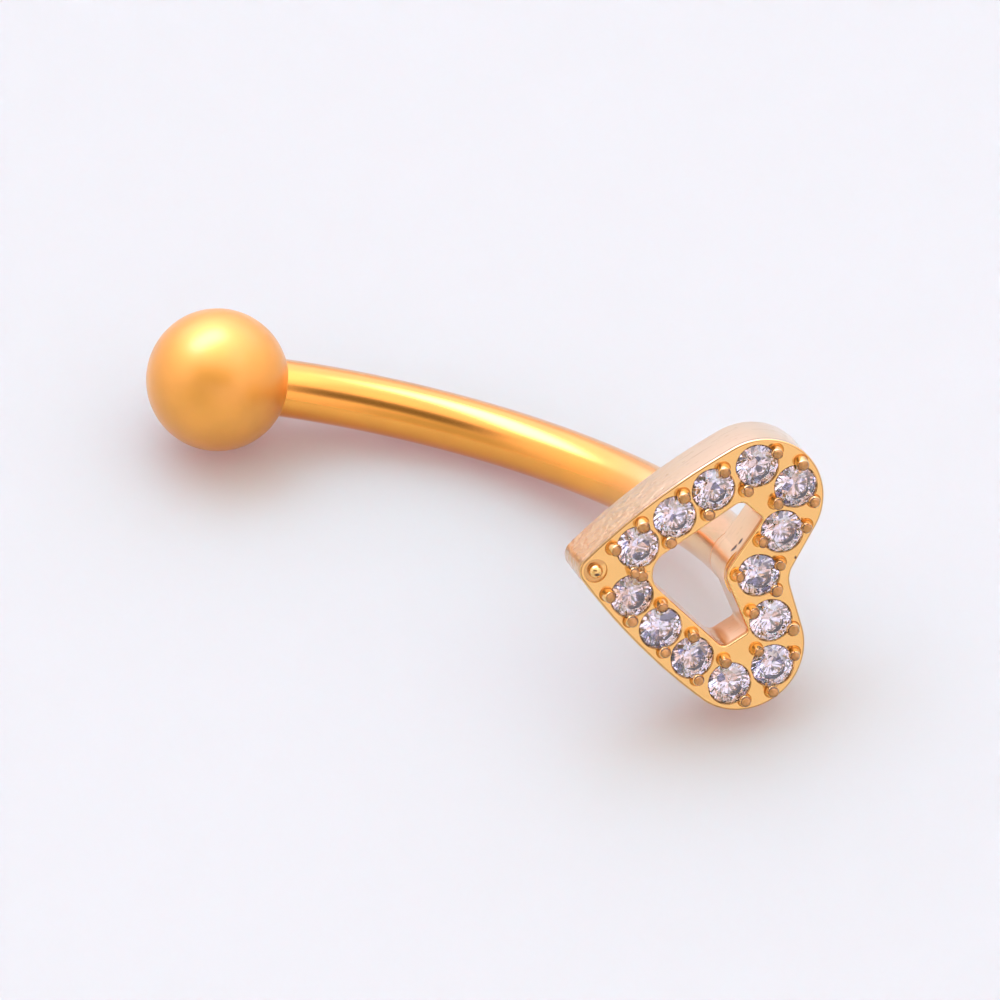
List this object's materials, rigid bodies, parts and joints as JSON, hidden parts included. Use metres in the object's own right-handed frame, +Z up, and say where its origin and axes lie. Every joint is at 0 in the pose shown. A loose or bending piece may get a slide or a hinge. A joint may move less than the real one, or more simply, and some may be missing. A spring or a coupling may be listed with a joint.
{
  "type": "curved eyebrow barbell",
  "caption": "Bent bar for an eyebrow piercing with a plain ball on one end and an openwork heart set with clear round stones on the other.",
  "frame": {"origin": "on the surface that the part lies on, under the middle of its bounding box", "axes": "+Z up from that surface; +X along the barbell's length, from the ball to the heart; +Y away from the side that shows the heart's face"},
  "size_m": [0.0138, 0.01, 0.0056],
  "materials": {
    "bar_gold": "polished gold-coloured coating over steel",
    "ball_gold": "polished gold-coloured coating over steel, slightly soft",
    "heart_gold": "flat polished gold-coloured coating over steel, with finer scratches and pits on its edge",
    "clear_stone": "clear, brilliant cut, polished"
  },
  "bodies": {
    "root": {"curved_bar": "bar_gold", "ball_end": "ball_gold", "heart_setting": "heart_gold", "stone_01": "clear_stone", "stone_02": "clear_stone", "stone_03": "clear_stone", "stone_04": "clear_stone", "stone_05": "clear_stone", "stone_06": "clear_stone", "stone_07": "clear_stone", "stone_08": "clear_stone", "stone_09": "clear_stone", "stone_10": "clear_stone", "stone_11": "clear_stone", "stone_12": "clear_stone", "stone_13": "clear_stone"}
  },
  "joints": []
}
